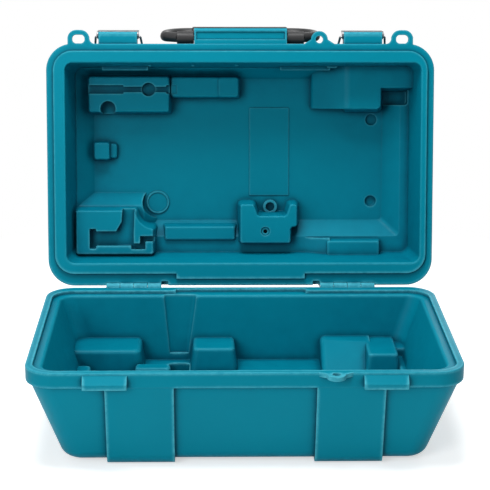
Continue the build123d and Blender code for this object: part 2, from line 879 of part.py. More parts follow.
def hinge_notches() -> Part:
    """The notches beside the hinges through which their pins go in."""
    inner = hinge_inner - hinge_notch_width
    notch = Outline(
        inner, hinge_inner, rim_rear - hinge_notch_depth, rim_rear + 9, 1.5
    ).slab(lid_rim - 1, level(hinge_notch_width))
    return notch + mirrored(notch)


def lid_hollow() -> Part:
    """The lid's cavity with its nest blocks left standing and its pockets sunk."""
    hollow = lid_cavity() - (front_bar() + left_stop() + rear_bars() + disc_plateau() + low_forms())
    hollow = hollow + corner_bay() - corner_nest()
    for solid, cut in (spanner_nest(), bit_nest(), clip_nest()):
        hollow -= solid
        hollow += cut
    return hollow + dimples()


def make_lid_shell() -> Part:
    """The lid, drawn shut, with its nest, lugs, bosses, feet and knuckles."""
    shell = Pos(0, 0, lid_rim) * walls(lid_skirt, lid_height)
    shell += lip_recess(land_gap, level(-land_height), level(1))
    shell -= lid_hollow()
    mouth = mouth_edges(
        shell, level(-land_height), lid_mouth_right - 1, lid_mouth_front - 1, lid_mouth_rear - 1
    )
    shell = fillet(mouth, lid_mouth_round)
    bands = block(
        rail_inner, rail_outer, rim_front + 3 * outer_round, rim_rear - outer_round,
        level(lid_height - 2), level(lid_height + band_proud), edge=1.2,
    )
    shell += bands + mirrored(bands)
    boss = latch_boss()
    shell += handle_bracket() + boss + mirrored(boss)
    shell += strap_lugs(lid_rim, level(lug_thickness)) + padlock_lug(lid_rim, level(lug_thickness))
    shell += rear_foot(True)
    shell -= hinge_notches() + knuckle_rooms(True)
    shell += knuckles(True)
    return shell - pin_bore()


# Fittings


def make_hinge_pin() -> Part:
    """The right hinge's steel pin."""
    return cross_rod(hinge_inner, hinge_outer, hinge_y, hinge_z, hinge_pin_radius)


def make_handle() -> Part:
    """The folding handle: an eye at each end, two arms and a thicker grip."""
    pivot = Pos(0, reach(handle_pivot_reach), level(handle_pivot_height))
    eye_inner = bracket_half + handle_end_gap
    eye_outer = eye_inner + handle_eye_length
    start = eye_outer - handle_arm_radius
    half = [
        (start, 0, 0),
        (handle_half, 0, handle_corner / 2.5),
        (handle_half, 0, handle_length),
        (0, 0, handle_length),
    ]
    path = FilletPolyline(*half, radius=[8.0, handle_corner])
    section = Plane(path @ 0, z_dir=path % 0) * Circle(handle_arm_radius)
    arm = sweep(section, path)
    eye = cross_rod(eye_inner, eye_outer, 0, 0, handle_eye_radius)
    eye = fillet(eye.edges(), 0.8)
    grip_half = handle_half - handle_corner - handle_grip_radius / 2
    grip = cross_rod(0, grip_half, 0, handle_length, handle_grip_radius)
    grip = chamfer(grip.edges().sort_by(Axis.X)[-1], 1.2)
    side = eye + arm + grip
    bow = side + mirrored(side)
    bore = cross_rod(-eye_outer - 1, eye_outer + 1, 0, 0, handle_rod_radius + handle_rod_play)
    return pivot * Rot(handle_rest_rise, 0, 0) * (bow - bore)


def make_handle_rod() -> Part:
    """The steel rod that the handle turns on."""
    return handle_axis_rod(bracket_half + handle_end_gap + handle_eye_length, handle_rod_radius)


def make_latch_axle() -> Part:
    """The right latch's riveted axle."""
    axis = reach(latch_axle_reach), level(latch_axle_height)
    outside = latch_boss_half + lever_side_gap + lever_thickness + 0.15
    axle = cross_rod(latch_x - outside, latch_x + outside, *axis, latch_axle_radius - wire_play / 2)
    heads = [
        cross_rod(latch_x + side * outside, latch_x + side * (outside + 0.8), *axis, 2.4)
        for side in (-1, 1)
    ]
    return axle + heads


def make_latch_lever() -> Part:
    """The right latch's pressed lever: a plate with two pierced side ears and a lifted lip."""
    inner = latch_boss_half + lever_side_gap
    outer = inner + lever_thickness
    face = latch_boss_reach + 0.15
    plate = side_profile(
        [
            (reach(face), level(lever_foot)),
            (reach(face + lever_thickness), level(lever_foot)),
            (reach(face + lever_thickness), level(lever_top - 4)),
            (reach(face + lever_thickness + 1.2), level(lever_top)),
            (reach(face + 1.2), level(lever_top)),
            (reach(face), level(lever_top - 4)),
        ],
        latch_x - outer,
        latch_x + outer,
    )
    pivot = Pos(latch_axle_reach, latch_axle_height)
    link = Pos(link_pivot_reach, link_pivot_height)
    ear = (
        pivot * Circle(3.2)
        + link * Circle(2.6)
        + make_face(
            Polyline(
                [
                    (latch_axle_reach + 0.5, latch_axle_height - 3.1),
                    (face + lever_thickness, lever_foot),
                    (face + lever_thickness, lever_top - 6),
                    (face, lever_top - 6),
                    (link_pivot_reach, link_pivot_height + 2.5),
                    (link_pivot_reach - 2.5, link_pivot_height),
                    (latch_axle_reach - 3.1, latch_axle_height),
                ],
                close=True,
            )
        )
    )
    ear -= pivot * Circle(latch_axle_radius + wire_play)
    ear -= link * Circle(wire_radius + wire_play)
    upright = Plane(origin=(latch_x, rim_front, lid_rim), x_dir=(0, -1, 0), z_dir=(-1, 0, 0))
    right_ear = extrude(upright.offset(-outer) * ear, amount=lever_thickness)
    left_ear = extrude(upright.offset(inner) * ear, amount=lever_thickness)
    return plate + right_ear + left_ear


def wire_length() -> float:
    """From the wire's pivot to the middle of its cross bar, set by the keeper it hooks under."""
    drop = link_pivot_height + parting_gap + keeper_bottom + wire_radius + hook_gap
    return hypot(link_pivot_reach - hook_reach, drop)


def wire_rest_lean() -> float:
    """How far the wire leans towards the lid's front wall when it lies back on it, in degrees."""
    length = wire_length()
    slope = tan(radians(front_draft))
    for tenth in range(900):
        lean = tenth / 10
        bar_reach = link_pivot_reach - length * sin(radians(lean))
        bar_height = link_pivot_height + length * cos(radians(lean))
        wall_reach = -skirt_step - (bar_height - lid_skirt) * slope
        room = (bar_reach - wall_reach) * cos(radians(front_draft)) - wire_radius
        if room <= wire_rest_gap:
            return lean
    return 0.0


def make_latch_wire() -> Part:
    """The right latch's wire: two legs with in-turned ends and a cross bar, lying back."""
    length = wire_length()
    end = latch_boss_half + lever_side_gap + wire_play
    near = latch_boss_half + lever_side_gap + lever_thickness + wire_leg_gap + wire_radius
    wide = near + wire_splay
    points = [
        (-end, 0, 0),
        (-near, 0, 0),
        (-wide, 0, length),
        (wide, 0, length),
        (near, 0, 0),
        (end, 0, 0),
    ]
    path = FilletPolyline(*points, radius=[wire_bend * 0.6, wire_bend, wire_bend, wire_bend * 0.6])
    wire = sweep(Plane(path @ 0, z_dir=path % 0) * Circle(wire_radius), path)
    pivot = Pos(latch_x, reach(link_pivot_reach), level(link_pivot_height))
    return pivot * Rot(-wire_rest_lean(), 0, 0) * wire


def swing_open(solid: Part) -> Part:
    """A piece of the shut lid, turned about the hinge to where the open lid holds it."""
    to_hinge = Pos(0, hinge_y, hinge_z)
    return to_hinge * Rot(-open_angle, 0, 0) * Pos(0, -hinge_y, -hinge_z) * solid


def make_pieces() -> dict[str, Part]:
    """Every piece of the open case by its node's name, still about the base's middle."""
    shut = {
        "lid_shell": make_lid_shell(),
        "handle_bow": make_handle(),
        "handle_rod": make_handle_rod(),
        "latch_right_lever": make_latch_lever(),
        "latch_right_wire": make_latch_wire(),
        "latch_right_axle": make_latch_axle(),
    }
    for part in ("lever", "wire", "axle"):
        shut[f"latch_left_{part}"] = mirrored(shut[f"latch_right_{part}"])
    pieces = {name: swing_open(solid) for name, solid in shut.items()}
    pieces["base_shell"] = make_base_shell()
    pieces["hinge_pin_right"] = make_hinge_pin()
    pieces["hinge_pin_left"] = mirrored(pieces["hinge_pin_right"])
    return pieces


def main() -> None:
    """Write every piece, with the origin moved to the middle of the open case's footprint."""
    pieces = make_pieces()
    low_y = min(solid.bounding_box().min.Y for solid in pieces.values())
    high_y = max(solid.bounding_box().max.Y for solid in pieces.values())
    centring = Pos(0, -(low_y + high_y) / 2, 0)
    os.makedirs("parts", exist_ok=True)
    for name, solid in pieces.items():
        export_step(centring * solid, f"parts/{name}.step")
    print(f"footprint middle {(low_y + high_y) / 2:.3f} mm behind the base's middle")
    print(f"wire length {wire_length():.3f} mm, rest lean {wire_rest_lean():.1f} degrees")


if __name__ == "__main__":
    main()
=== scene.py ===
"""An open tool carrying case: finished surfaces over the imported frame, in metres.

The case's moulded shells, handle, latches and hinges each have a class that builds and
dresses their pieces. The studio class sets up the floor, the light and the camera.
"""
import logging
import math
from dataclasses import dataclass, field
from enum import Enum

import bmesh
import bpy
from mathutils import Matrix, Vector

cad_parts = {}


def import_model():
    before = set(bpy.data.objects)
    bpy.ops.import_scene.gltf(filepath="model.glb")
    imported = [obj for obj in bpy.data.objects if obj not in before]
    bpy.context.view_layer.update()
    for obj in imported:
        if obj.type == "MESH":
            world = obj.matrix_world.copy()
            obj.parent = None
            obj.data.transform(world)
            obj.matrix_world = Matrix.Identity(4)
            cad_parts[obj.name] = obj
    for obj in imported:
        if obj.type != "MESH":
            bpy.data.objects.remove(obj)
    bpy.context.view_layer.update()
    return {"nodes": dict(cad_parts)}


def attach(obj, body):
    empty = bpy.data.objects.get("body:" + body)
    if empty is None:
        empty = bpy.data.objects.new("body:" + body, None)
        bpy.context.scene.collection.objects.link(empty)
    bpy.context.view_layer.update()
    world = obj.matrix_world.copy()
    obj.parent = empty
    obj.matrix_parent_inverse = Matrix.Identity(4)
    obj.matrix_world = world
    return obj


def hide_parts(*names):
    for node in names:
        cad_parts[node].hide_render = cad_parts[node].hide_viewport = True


LOG = logging.getLogger("carrying_case")
MM = 0.001
Colour = tuple[float, float, float]


class Slot(Enum):
    """The record's material slots."""

    SHELL = "shell_plastic"
    HANDLE = "handle_plastic"
    LATCH = "latch_steel"
    PIN = "pin_steel"


class Side(Enum):
    """The two sides of the case, seen from the latches."""

    LEFT = "left"
    RIGHT = "right"


def linear(colour: Colour) -> tuple[float, float, float, float]:
    """Turns a display colour into the linear value that a shader takes.

    Args:
        colour: Red, green and blue from 0 to 1 as shown on a display.

    Returns:
        The linear colour with full opacity.
    """

    def channel(value: float) -> float:
        """One channel's linear value."""
        return value / 12.92 if value <= 0.04045 else ((value + 0.055) / 1.055) ** 2.4

    return (channel(colour[0]), channel(colour[1]), channel(colour[2]), 1.0)


@dataclass
class NodeSheet:
    """A short way to add and join a material's nodes."""

    material: bpy.types.Material

    @classmethod
    def fresh(cls, name: str) -> "NodeSheet":
        """Starts an empty node material."""
        material = bpy.data.materials.new(name)
        material.use_nodes = True
        material.node_tree.nodes.clear()
        return cls(material)

    def add(self, kind: str, **settings: object) -> bpy.types.Node:
        """Adds a node and sets its properties and its inputs.

        Args:
            kind: The node's type name.
            **settings: Properties by name; inputs are given as "in_NAME" with spaces as "_".

        Returns:
            The new node.
        """
        node = self.material.node_tree.nodes.new(kind)
        for name, value in settings.items():
            if name.startswith("in_"):
                node.inputs[name[3:].replace("_", " ")].default_value = value
            else:
                setattr(node, name, value)
        return node

    def join(self, out: bpy.types.NodeSocket, into: bpy.types.NodeSocket) -> None:
        """Links one socket to another."""
        self.material.node_tree.links.new(out, into)

    def grain(self, scale: float, detail: float, roughness: float = 0.5) -> bpy.types.NodeSocket:
        """A noise pattern on the piece's own coordinates.

        Args:
            scale: Waves to the metre.
            detail: Octaves of the noise.
            roughness: Weight of the finer octaves.

        Returns:
            The noise value's socket.
        """
        place = self.add("ShaderNodeTexCoord")
        noise = self.add(
            "ShaderNodeTexNoise", in_Scale=scale, in_Detail=detail, in_Roughness=roughness
        )
        self.join(place.outputs["Object"], noise.inputs["Vector"])
        return noise.outputs["Fac"]

    def spread(
        self,
        value: bpy.types.NodeSocket,
        low: float,
        high: float,
        start: float = 0.3,
        end: float = 0.7,
    ) -> bpy.types.NodeSocket:
        """Maps the middle of a pattern's range onto a new range.

        Args:
            value: The pattern's socket.
            low: Result at the start.
            high: Result at the end.
            start: Pattern value that gives low.
            end: Pattern value that gives high.

        Returns:
            The mapped value's socket.
        """
        node = self.add("ShaderNodeMapRange")
        self.join(value, node.inputs["Value"])
        for name, number in (
            ("From Min", start), ("From Max", end), ("To Min", low), ("To Max", high)
        ):
            node.inputs[name].default_value = number
        return node.outputs["Result"]

    def tint(
        self, amount: bpy.types.NodeSocket, first: Colour, second: Colour
    ) -> bpy.types.NodeSocket:
        """Blends two display colours by a pattern.

        Args:
            amount: Socket of the blend, 0 for the first colour and 1 for the second.
            first: A display colour.
            second: A display colour.

        Returns:
            The blended colour's socket.
        """
        mix = self.add("ShaderNodeMix", data_type="RGBA")
        mix.inputs[6].default_value = linear(first)
        mix.inputs[7].default_value = linear(second)
        self.join(amount, mix.inputs["Factor"])
        return mix.outputs[2]

    def blend(
        self, amount: bpy.types.NodeSocket, first: bpy.types.NodeSocket, second: Colour
    ) -> bpy.types.NodeSocket:
        """Lays a display colour over a pattern.

        Args:
            amount: Socket of the cover, 0 to 1.
            first: Socket of the colour below.
            second: The display colour on top.

        Returns:
            The blended colour's socket.
        """
        mix = self.add("ShaderNodeMix", data_type="RGBA")
        mix.inputs[7].default_value = linear(second)
        self.join(first, mix.inputs[6])
        self.join(amount, mix.inputs["Factor"])
        return mix.outputs[2]

    def times(
        self, first: bpy.types.NodeSocket, second: bpy.types.NodeSocket
    ) -> bpy.types.NodeSocket:
        """The product of two patterns."""
        node = self.add("ShaderNodeMath", operation="MULTIPLY")
        self.join(first, node.inputs[0])
        self.join(second, node.inputs[1])
        return node.outputs["Value"]

    def soft_normal(self, radius: float) -> bpy.types.NodeSocket:
        """A normal that rounds the piece's edges by a radius in metres."""
        return self.add("ShaderNodeBevel", samples=6, in_Radius=radius).outputs["Normal"]

    def height_fade(
        self, low: float, high: float, band: tuple[float, float]
    ) -> bpy.types.NodeSocket:
        """A value that changes with height on the resting case.

        Args:
            low: Value below the band.
            high: Value above the band.
            band: The heights in metres between which it changes.

        Returns:
            The value's socket.
        """
        place = self.add("ShaderNodeTexCoord")
        split = self.add("ShaderNodeSeparateXYZ")
        self.join(place.outputs["Object"], split.inputs["Vector"])
        return self.spread(split.outputs["Z"], low, high, *band)

    def outward_edges(
        self, width: bpy.types.NodeSocket, full: float, none: float
    ) -> bpy.types.NodeSocket:
        """A mask of the edges that stand outward.

        Args:
            width: Socket of how far the mask reaches from an edge, in metres.
            full: Openness from 0 to 1 at which the mask is full.
            none: Openness at which it ends.

        Returns:
            The mask's socket, 1 on the edge.
        """
        thin = self.add("ShaderNodeAmbientOcclusion", samples=8, inside=True, only_local=True)
        self.join(width, thin.inputs["Distance"])
        return self.spread(thin.outputs["AO"], 1.0, 0.0, full, none)

    def inward_corners(self, width: float, deep: float, shallow: float) -> bpy.types.NodeSocket:
        """A mask of the creases and pockets that lie inward.

        Args:
            width: How far the mask looks for the facing walls, in metres.
            deep: Openness from 0 to 1 at which the mask is full.
            shallow: Openness at which it ends.

        Returns:
            The mask's socket, 1 in the deepest corners.
        """
        near = self.add(
            "ShaderNodeAmbientOcclusion", samples=8, only_local=True, in_Distance=width
        )
        return self.spread(near.outputs["AO"], 1.0, 0.0, deep, shallow)


@dataclass(frozen=True)
class MouldedPlastic:
    """Satin moulded plastic: fine grain, slight clouds, painted highlights on outward edges and
    painted shade in hollows and grooves.
    """

    name: str
    main: Colour
    cloud: Colour
    # edge: colour of a painted highlight along outward edges
    edge: Colour
    # crease: colour of painted shade in wide hollows and deep corners
    crease: Colour
    # groove: colour of darker painted shade in grooves, slots, dimples and narrow creases
    groove: Colour
    roughness: float = 0.42
    shine: float = 0.06
    grain_scale: float = 1500.0
    grain_depth: float = 0.00002
    edge_radius: float = 0.0015
    # These numbers set the painted highlight's reach, strength and height band
    highlight_width: float = 0.0045
    highlight_width_above: float = 0.0028
    highlight_range: tuple[float, float] = (0.56, 0.9)
    highlight_band: tuple[float, float] = (0.12, 0.17)
    # The crease and groove numbers set how far and how strongly the painted shade reaches
    crease_width: float = 0.15
    groove_width: float = 0.01
    groove_range: tuple[float, float] = (0.62, 0.93)
    highlight_cover: float = 0.95
    highlight_cover_above: float = 0.5
    crease_range: tuple[float, float] = (0.35, 0.99)
    crease_cover: float = 0.54
    groove_cover: float = 0.62

    def make(self) -> bpy.types.Material:
        """Builds the material."""
        sheet = NodeSheet.fresh(self.name)
        shader = sheet.add(
            "ShaderNodeBsdfPrincipled", in_IOR=1.49, in_Specular_IOR_Level=self.shine
        )
        out = sheet.add("ShaderNodeOutputMaterial")
        body = sheet.tint(sheet.spread(sheet.grain(9.0, 3.0), 0.0, 1.0), self.main, self.cloud)
        # Painted shade: the crease colour darkens wide hollows and deep corners, in patches
        patch = sheet.spread(sheet.grain(60.0, 3.0), 0.6 * self.crease_cover, self.crease_cover)
        hollow = sheet.inward_corners(self.crease_width, *self.crease_range)
        body = sheet.blend(sheet.times(hollow, patch), body, self.crease)
        # Painted shade: the groove colour darkens grooves, slots, dimples and narrow creases, in
        # patches
        groove = sheet.inward_corners(self.groove_width, *self.groove_range)
        groove_shade_patches = sheet.spread(sheet.grain(90.0, 3.0), 0.7 * self.groove_cover, self.groove_cover)
        body = sheet.blend(sheet.times(groove, groove_shade_patches), body, self.groove)
        # Painted highlight: the pale edge colour along outward edges, in patches, stronger and
        # wider below the height band on the resting case
        highlight_patches = sheet.spread(sheet.grain(160.0, 4.0, 0.65), 0.35 * self.highlight_cover, self.highlight_cover)
        highlight_amount = sheet.times(highlight_patches, sheet.height_fade(1.0, self.highlight_cover_above, self.highlight_band))
        width = sheet.height_fade(self.highlight_width, self.highlight_width_above, self.highlight_band)
        crest = sheet.outward_edges(width, *self.highlight_range)
        body = sheet.blend(sheet.times(crest, highlight_amount), body, self.edge)
        sheet.join(body, shader.inputs["Base Color"])
        gloss = sheet.spread(
            sheet.grain(35.0, 5.0, 0.6), self.roughness - 0.05, self.roughness + 0.06
        )
        sheet.join(gloss, shader.inputs["Roughness"])
        bump = sheet.add("ShaderNodeBump", in_Strength=0.35, in_Distance=self.grain_depth)
        sheet.join(sheet.grain(self.grain_scale, 2.0, 0.6), bump.inputs["Height"])
        sheet.join(sheet.soft_normal(self.edge_radius), bump.inputs["Normal"])
        sheet.join(bump.outputs["Normal"], shader.inputs["Normal"])
        sheet.join(shader.outputs["BSDF"], out.inputs["Surface"])
        return sheet.material


@dataclass(frozen=True)
class Steel:
    """Drawn or pressed steel with fine streaks along X and small stains."""

    name: str
    bright: Colour
    dull: Colour
    roughness: float = 0.4
    streaks: float = 900.0
    stretch: float = 0.04
    stain_scale: float = 320.0
    stain_cover: float = 0.55
    stain_range: tuple[float, float] = (0.4, 0.8)

    def make(self) -> bpy.types.Material:
        """Builds the material."""
        sheet = NodeSheet.fresh(self.name)
        shader = sheet.add("ShaderNodeBsdfPrincipled", in_Metallic=1.0)
        out = sheet.add("ShaderNodeOutputMaterial")
        place = sheet.add("ShaderNodeTexCoord")
        drawn = sheet.add("ShaderNodeMapping")
        drawn.inputs["Scale"].default_value = (self.stretch, 1.0, 1.0)
        streak = sheet.add("ShaderNodeTexNoise", in_Scale=self.streaks, in_Detail=3.0)
        sheet.join(place.outputs["Object"], drawn.inputs["Vector"])
        sheet.join(drawn.outputs["Vector"], streak.inputs["Vector"])
        stain = sheet.spread(
            sheet.grain(self.stain_scale, 4.0, 0.6), 0.0, self.stain_cover, *self.stain_range
        )
        sheet.join(sheet.tint(stain, self.bright, self.dull), shader.inputs["Base Color"])
        sheet.join(
            sheet.spread(streak.outputs["Fac"], self.roughness - 0.06, self.roughness + 0.1),
            shader.inputs["Roughness"],
        )
        bump = sheet.add("ShaderNodeBump", in_Strength=0.12, in_Distance=0.00002)
        sheet.join(streak.outputs["Fac"], bump.inputs["Height"])
        sheet.join(bump.outputs["Normal"], shader.inputs["Normal"])
        sheet.join(shader.outputs["BSDF"], out.inputs["Surface"])
        return sheet.material


@dataclass
class Finishes:
    """Every finish of the case, built once."""

    shell: bpy.types.Material = field(init=False)
    handle: bpy.types.Material = field(init=False)
    latch: bpy.types.Material = field(init=False)
    pin: bpy.types.Material = field(init=False)

    def __post_init__(self) -> None:
        """Builds the four materials."""
        self.shell = MouldedPlastic(
            "teal_moulded_plastic",
            main=(0.0, 0.475, 0.56),
            cloud=(0.0, 0.49, 0.575),
            # edge is a painted highlight
            edge=(0.32, 0.70, 0.77),
            # crease is painted shade
            crease=(0.0, 0.25, 0.36),
            # groove is darker painted shade
            groove=(0.0, 0.15, 0.23),
        ).make()
        self.handle = MouldedPlastic(
            "black_moulded_plastic",
            main=(0.10, 0.10, 0.105),
            cloud=(0.12, 0.12, 0.125),
            # edge is a painted highlight
            edge=(0.24, 0.24, 0.25),
            # crease is painted shade
            crease=(0.05, 0.05, 0.052),
            # groove is darker painted shade
            groove=(0.03, 0.03, 0.031),
            roughness=0.5,
            shine=0.35,
            edge_radius=0.0008,
            highlight_cover=0.4,
        ).make()
        self.latch = Steel(
            "bright_plated_steel", bright=(0.52, 0.53, 0.54), dull=(0.30, 0.31, 0.32)
        ).make()
        self.pin = Steel(
            "plain_drawn_steel", bright=(0.76, 0.76, 0.77), dull=(0.52, 0.52, 0.53), roughness=0.44
        ).make()

    def of(self, slot: Slot) -> bpy.types.Material:
        """The material that belongs to a record slot."""
        return {
            Slot.SHELL: self.shell,
            Slot.HANDLE: self.handle,
            Slot.LATCH: self.latch,
            Slot.PIN: self.pin,
        }[slot]


def place_piece(
    piece: bpy.types.Object,
    body: str,
    slot: Slot,
    finishes: Finishes,
    stands_for: tuple[str, ...] = (),
) -> None:
    """Gives a piece its finish, its body and the nodes that it stands for.

    Args:
        piece: The finished mesh object.
        body: The body that it rides on.
        slot: The record slot of its finish.
        finishes: The built materials.
        stands_for: The CAD nodes that it replaces.
    """
    piece.data.materials.clear()
    piece.data.materials.append(finishes.of(slot))
    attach(piece, body)
    if stands_for:
        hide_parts(*stands_for)
    LOG.info("%s rides on %s with %d faces", piece.name, body, len(piece.data.polygons))


def link(name: str, mesh: bpy.types.Mesh) -> bpy.types.Object:
    """Puts a mesh in the scene as a new object at the origin."""
    piece = bpy.data.objects.new(name, mesh)
    bpy.context.scene.collection.objects.link(piece)
    return piece


def baked(piece: bpy.types.Object) -> bpy.types.Object:
    """Turns a piece with modifiers into a plain mesh.

    Args:
        piece: An object whose modifiers are finished.

    Returns:
        The same object, with the modifiers' result as its mesh.
    """
    graph = bpy.context.evaluated_depsgraph_get()
    mesh = bpy.data.meshes.new_from_object(piece.evaluated_get(graph))
    mesh.name = piece.name
    piece.modifiers.clear()
    piece.data = mesh
    return piece


def smooth_copy(node: bpy.types.Object, name: str, crease: float = 28.0) -> bpy.types.Object:
    """A merged copy of a CAD node's mesh with smooth shading between its creases.

    Args:
        node: The CAD node's object.
        name: The new piece's name.
        crease: Angle in degrees above which an edge stays sharp.

    Returns:
        The new piece.
    """
    work = bmesh.new()
    work.from_mesh(node.data)
    bmesh.ops.remove_doubles(work, verts=work.verts, dist=2e-6)
    bmesh.ops.recalc_face_normals(work, faces=work.faces)
    limit = math.radians(crease)
    for face in work.faces:
        face.smooth = True
    for edge in work.edges:
        edge.smooth = len(edge.link_faces) == 2 and edge.calc_face_angle(0.0) < limit
    mesh = bpy.data.meshes.new(name)
    work.to_mesh(mesh)
    work.free()
    piece = link(name, mesh)
    weigh = piece.modifiers.new("weigh", "WEIGHTED_NORMAL")
    weigh.keep_sharp = True
    weigh.weight = 80
    return baked(piece)


@dataclass(frozen=True)
class OpenLid:
    """Where the shut lid's points lie once the lid stands open, from the case's sizes in mm."""

    case_depth: float = 275.5
    base_height: float = 108.0
    parting_gap: float = 0.2
    hinge_offset: float = 1.3
    open_angle: float = 100.3
    rest_shift: float = -53.213

    def placement(self) -> Matrix:
        """The map from (x, reach, level) in mm to the world in metres.

        Returns:
            A matrix whose input is x to the right, reach forward of the rim's front face and
            level above the lid's rim plane, all with the lid shut.
        """
        front = -self.case_depth / 2
        rim = self.base_height + self.parting_gap
        hinge = Vector((0, self.case_depth / 2 + self.hinge_offset, rim - self.parting_gap / 2))
        shut = Matrix(((1, 0, 0, 0), (0, -1, 0, front), (0, 0, 1, rim), (0, 0, 0, 1)))
        swing = Matrix.Rotation(math.radians(-self.open_angle), 4, "X")
        about = Matrix.Translation(hinge) @ swing @ Matrix.Translation(-hinge)
        return Matrix.Scale(MM, 4) @ Matrix.Translation((0, self.rest_shift, 0)) @ about @ shut


@dataclass
class Growth:
    """A node group that grows a piece from a simple seed mesh."""

    name: str
    tree: bpy.types.NodeTree = field(init=False)
    sockets: dict[str, str] = field(default_factory=dict)
    source: bpy.types.Node = field(init=False)

    def __post_init__(self) -> None:
        """Starts the group with its geometry input and output."""
        self.tree = bpy.data.node_groups.new(self.name, "GeometryNodeTree")
        shape = "NodeSocketGeometry"
        self.tree.interface.new_socket("Geometry", in_out="INPUT", socket_type=shape)
        self.tree.interface.new_socket("Geometry", in_out="OUTPUT", socket_type=shape)
        self.source = self.tree.nodes.new("NodeGroupInput")

    def number(self, name: str, whole: bool = False) -> bpy.types.NodeSocket:
        """Adds a named number input.

        Args:
            name: The input's name.
            whole: Whether it is a whole number.

        Returns:
            The input's socket inside the group.
        """
        kind = "NodeSocketInt" if whole else "NodeSocketFloat"
        item = self.tree.interface.new_socket(name, in_out="INPUT", socket_type=kind)
        self.sockets[name] = item.identifier
        return self.source.outputs[name]

    def add(self, kind: str, **settings: object) -> bpy.types.Node:
        """Adds a node and sets its properties."""
        node = self.tree.nodes.new(kind)
        for name, value in settings.items():
            setattr(node, name, value)
        return node

    def join(self, out: bpy.types.NodeSocket, into: bpy.types.NodeSocket) -> None:
        """Links one socket to another."""
        self.tree.links.new(out, into)

    def end(self, shape: bpy.types.NodeSocket, material: bpy.types.Material) -> None:
        """Ends the group: real geometry, smooth, with its material."""
        real = self.add("GeometryNodeRealizeInstances")
        smooth = self.add("GeometryNodeSetShadeSmooth")
        dress = self.add("GeometryNodeSetMaterial")
        dress.inputs["Material"].default_value = material
        out = self.add("NodeGroupOutput")
        self.join(shape, real.inputs["Geometry"])
        self.join(real.outputs["Geometry"], smooth.inputs["Geometry"])
        self.join(smooth.outputs["Geometry"], dress.inputs["Geometry"])
        self.join(dress.outputs["Geometry"], out.inputs["Geometry"])

    def grow(
        self, seed: bpy.types.Mesh, sizes: dict[str, float], place: Matrix
    ) -> bpy.types.Object:
        """Runs the group on a seed mesh.

        Args:
            seed: The mesh that goes in.
            sizes: Values of the named inputs.
            place: The map from the seed's space to the world.

        Returns:
            The grown piece as a plain mesh, at the origin.
        """
        piece = link(seed.name, seed)
        grown = piece.modifiers.new("growth", "NODES")
        grown.node_group = self.tree
        for name, value in sizes.items():
            grown[self.sockets[name]] = value
        baked(piece)
        piece.data.transform(place)
        if place.determinant() < 0:
            piece.data.flip_normals()
        return piece


def wire_group(material: bpy.types.Material) -> Growth:
    """A group that bends a row of points and runs a round wire along it."""
    group = Growth("bent_wire")
    radius = group.number("Wire Radius")
    sides = group.number("Wire Sides", whole=True)
    steps = group.number("Bend Steps", whole=True)
    line = group.add("GeometryNodeMeshToCurve")
    bend = group.add("GeometryNodeFilletCurve", mode="POLY")
    size = group.add("GeometryNodeInputNamedAttribute", data_type="FLOAT")
    size.inputs["Name"].default_value = "bend"
    section = group.add("GeometryNodeCurvePrimitiveCircle")
    tube = group.add("GeometryNodeCurveToMesh")
    tube.inputs["Fill Caps"].default_value = True
    group.join(group.source.outputs["Geometry"], line.inputs["Mesh"])
    group.join(line.outputs["Curve"], bend.inputs["Curve"])
    group.join(size.outputs["Attribute"], bend.inputs["Radius"])
    group.join(steps, bend.inputs["Count"])
    group.join(radius, section.inputs["Radius"])
    group.join(sides, section.inputs["Resolution"])
    group.join(bend.outputs["Curve"], tube.inputs["Curve"])
    group.join(section.outputs["Curve"], tube.inputs["Profile Curve"])
    group.end(tube.outputs["Mesh"], material)
    return group


def row_group(material: bpy.types.Material) -> Growth:
    """A group that sets copies of its seed in a row along X, each turned further about Z."""
    group = Growth("set_row")
    count = group.number("Count", whole=True)
    start = group.number("Start")
    pitch = group.number("Pitch")
    turn = group.number("Turn")
    first = group.add("ShaderNodeCombineXYZ")
    step = group.add("ShaderNodeCombineXYZ")
    row = group.add("GeometryNodeMeshLine")
    index = group.add("GeometryNodeInputIndex")
    angle = group.add("ShaderNodeMath", operation="MULTIPLY")
    spin = group.add("ShaderNodeCombineXYZ")
    copies = group.add("GeometryNodeInstanceOnPoints")
    group.join(start, first.inputs["X"])
    group.join(pitch, step.inputs["X"])
    group.join(count, row.inputs["Count"])
    group.join(first.outputs["Vector"], row.inputs["Start Location"])
    group.join(step.outputs["Vector"], row.inputs["Offset"])
    group.join(index.outputs["Index"], angle.inputs[0])
    group.join(turn, angle.inputs[1])
    group.join(angle.outputs["Value"], spin.inputs["Z"])
    group.join(row.outputs["Mesh"], copies.inputs["Points"])
    group.join(group.source.outputs["Geometry"], copies.inputs["Instance"])
    group.join(spin.outputs["Vector"], copies.inputs["Rotation"])
    group.end(copies.outputs["Instances"], material)
    return group


def turned(name: str, profile: list[tuple[float, float]], sides: int = 28) -> bpy.types.Mesh:
    """A closed round mesh about the Y axis.

    Args:
        name: The mesh's name.
        profile: Pairs of distance along Y and radius, from the open end to the tip.
        sides: Facets round the axis.

    Returns:
        The mesh, with a flat cap at its first ring and its last.
    """
    work = bmesh.new()
    rings = []
    for along, radius in profile:
        angles = [2 * math.pi * index / sides for index in range(sides)]
        rings.append(
            [work.verts.new((radius * math.cos(a), along, radius * math.sin(a))) for a in angles]
        )
    for near, far in zip(rings, rings[1:]):
        for index in range(sides):
            after = (index + 1) % sides
            work.faces.new((near[index], near[after], far[after], far[index]))
    work.faces.new(rings[0])
    work.faces.new(rings[-1])
    bmesh.ops.recalc_face_normals(work, faces=work.faces)
    mesh = bpy.data.meshes.new(name)
    work.to_mesh(mesh)
    work.free()
    return mesh


